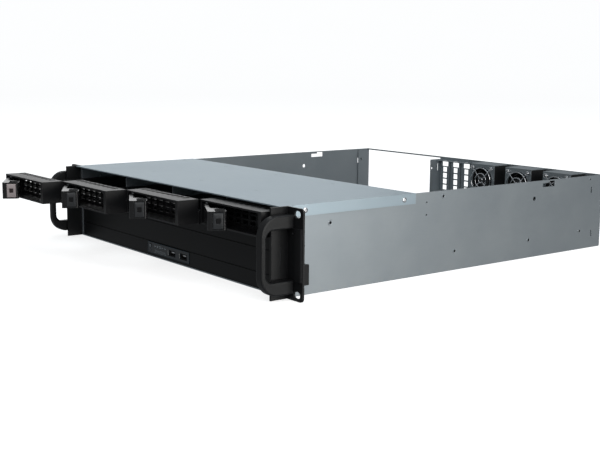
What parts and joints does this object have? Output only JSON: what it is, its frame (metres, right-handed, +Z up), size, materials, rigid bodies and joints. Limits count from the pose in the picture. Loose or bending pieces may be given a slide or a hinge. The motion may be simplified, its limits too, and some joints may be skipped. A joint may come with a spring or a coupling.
{
  "type": "rack storage enclosure",
  "caption": "Two-unit 19-inch rack storage enclosure with pull-out hot-swap drive trays, D handles, rear fans and an open rear compartment.",
  "frame": {"origin": "centre of the underside of the sheet-metal body, ears and handles left out", "axes": "+X to the right seen from the front, +Y to the back, +Z up"},
  "size_m": [0.4826, 0.606, 0.088],
  "materials": {
    "zinc_steel": "zinc-coated steel sheet, satin",
    "cover_steel": "zinc-coated steel sheet, pale satin",
    "black_paint": "fine-textured black powder coat",
    "front_black": "smooth satin black",
    "tray_black": "moulded black plastic",
    "lever_black": "semi-gloss moulded black plastic",
    "button_grey": "dark grey plastic",
    "button_pale": "pale pinkish grey plastic",
    "status_gloss": "glossy blue-black plastic",
    "key_grey": "dark grey plastic",
    "bright_steel": "bright plated steel",
    "guard_wire": "chromed wire",
    "circuit_board": "green solder mask",
    "connector_black": "black connector plastic",
    "fan_black": "black glass-filled plastic"
  },
  "bodies": {
    "chassis": {"chassis_tray": "zinc_steel", "rear_panel": "zinc_steel", "cage_shelf": "zinc_steel", "cage_side_left": "zinc_steel", "cage_side_right": "zinc_steel", "bay_divider_1": "zinc_steel", "bay_divider_2": "zinc_steel", "bay_divider_3": "zinc_steel", "slot_cover_1": "zinc_steel", "slot_cover_2": "zinc_steel", "slot_cover_3": "zinc_steel", "fan_bracket_1": "zinc_steel", "fan_bracket_2": "zinc_steel", "fan_bracket_3": "zinc_steel", "front_top_cover": "cover_steel", "rack_ear_left": "black_paint", "rack_ear_right": "black_paint", "handle_left": "black_paint", "handle_right": "black_paint", "front_panel": "front_black", "status_panel": "status_gloss", "fan_guard_1": "guard_wire", "fan_guard_2": "guard_wire", "fan_guard_3": "guard_wire", "front_io_board": "circuit_board", "backplane_board": "circuit_board", "usb_port_1": "connector_black", "usb_port_2": "connector_black", "drive_connector_1": "connector_black", "drive_connector_2": "connector_black", "drive_connector_3": "connector_black", "drive_connector_4": "connector_black", "fan_body_1": "fan_black", "fan_body_2": "fan_black", "fan_body_3": "fan_black"},
    "tray_1": {"tray_bezel_1": "tray_black", "tray_carrier_1": "tray_black", "lever_pin_1": "bright_steel"},
    "lever_1": {"tray_lever_1": "lever_black"},
    "latch_1": {"release_button_1": "button_pale"},
    "tray_2": {"tray_bezel_2": "tray_black", "tray_carrier_2": "tray_black", "lever_pin_2": "bright_steel"},
    "lever_2": {"tray_lever_2": "lever_black"},
    "latch_2": {"release_button_2": "button_grey"},
    "tray_3": {"tray_bezel_3": "tray_black", "tray_carrier_3": "tray_black", "lever_pin_3": "bright_steel"},
    "lever_3": {"tray_lever_3": "lever_black"},
    "latch_3": {"release_button_3": "button_grey"},
    "tray_4": {"tray_bezel_4": "tray_black", "tray_carrier_4": "tray_black", "lever_pin_4": "bright_steel"},
    "lever_4": {"tray_lever_4": "lever_black"},
    "latch_4": {"release_button_4": "button_grey"},
    "rotor_1": {"fan_rotor_1": "fan_black"},
    "rotor_2": {"fan_rotor_2": "fan_black"},
    "rotor_3": {"fan_rotor_3": "fan_black"},
    "power_key": {"power_button": "key_grey"},
    "reset_key": {"reset_button": "key_grey"}
  },
  "joints": [
    {"name": "tray_1_slide", "type": "slide", "parent": "chassis", "child": "tray_1", "axis": [0, -1, 0], "range_m": [-0.096, 0.054]},
    {"name": "tray_2_slide", "type": "slide", "parent": "chassis", "child": "tray_2", "axis": [0, -1, 0], "range_m": [-0.0724, 0.0776]},
    {"name": "tray_3_slide", "type": "slide", "parent": "chassis", "child": "tray_3", "axis": [0, -1, 0], "range_m": [-0.0483, 0.1017]},
    {"name": "tray_4_slide", "type": "slide", "parent": "chassis", "child": "tray_4", "axis": [0, -1, 0], "range_m": [-0.023, 0.127]},
    {"name": "lever_1_hinge", "type": "hinge", "parent": "tray_1", "child": "lever_1", "pos_m": [-0.2052, -0.3348, 0.07165], "axis": [0, 0, -1], "range_deg": [-28.5, 45]},
    {"name": "lever_2_hinge", "type": "hinge", "parent": "tray_2", "child": "lever_2", "pos_m": [-0.099, -0.3112, 0.07165], "axis": [0, 0, -1], "range_deg": [-28.5, 45]},
    {"name": "lever_3_hinge", "type": "hinge", "parent": "tray_3", "child": "lever_3", "pos_m": [0.0072, -0.2871, 0.07165], "axis": [0, 0, -1], "range_deg": [-28.5, 45]},
    {"name": "lever_4_hinge", "type": "hinge", "parent": "tray_4", "child": "lever_4", "pos_m": [0.1134, -0.2618, 0.07165], "axis": [0, 0, -1], "range_deg": [-28.5, 45]},
    {"name": "release_1_press", "type": "slide", "parent": "lever_1", "child": "latch_1", "axis": [-0.8788, 0.4772, 0], "range_m": [0, 0.0025], "stiffness_N_per_m": 300},
    {"name": "release_2_press", "type": "slide", "parent": "lever_2", "child": "latch_2", "axis": [-0.8788, 0.4772, 0], "range_m": [0, 0.0025], "stiffness_N_per_m": 300},
    {"name": "release_3_press", "type": "slide", "parent": "lever_3", "child": "latch_3", "axis": [-0.8788, 0.4772, 0], "range_m": [0, 0.0025], "stiffness_N_per_m": 300},
    {"name": "release_4_press", "type": "slide", "parent": "lever_4", "child": "latch_4", "axis": [-0.8788, 0.4772, 0], "range_m": [0, 0.0025], "stiffness_N_per_m": 300},
    {"name": "fan_1_spin", "type": "hinge", "parent": "chassis", "child": "rotor_1", "pos_m": [0.048, 0.2245, 0.066], "axis": [0, 1, 0], "continuous": true},
    {"name": "fan_2_spin", "type": "hinge", "parent": "chassis", "child": "rotor_2", "pos_m": [0.109, 0.2245, 0.066], "axis": [0, 1, 0], "continuous": true},
    {"name": "fan_3_spin", "type": "hinge", "parent": "chassis", "child": "rotor_3", "pos_m": [0.17, 0.2245, 0.066], "axis": [0, 1, 0], "continuous": true},
    {"name": "power_press", "type": "slide", "parent": "chassis", "child": "power_key", "axis": [0, 1, 0], "range_m": [0, 0.001], "stiffness_N_per_m": 300},
    {"name": "reset_press", "type": "slide", "parent": "chassis", "child": "reset_key", "axis": [0, 1, 0], "range_m": [0, 0.001], "stiffness_N_per_m": 300}
  ]
}
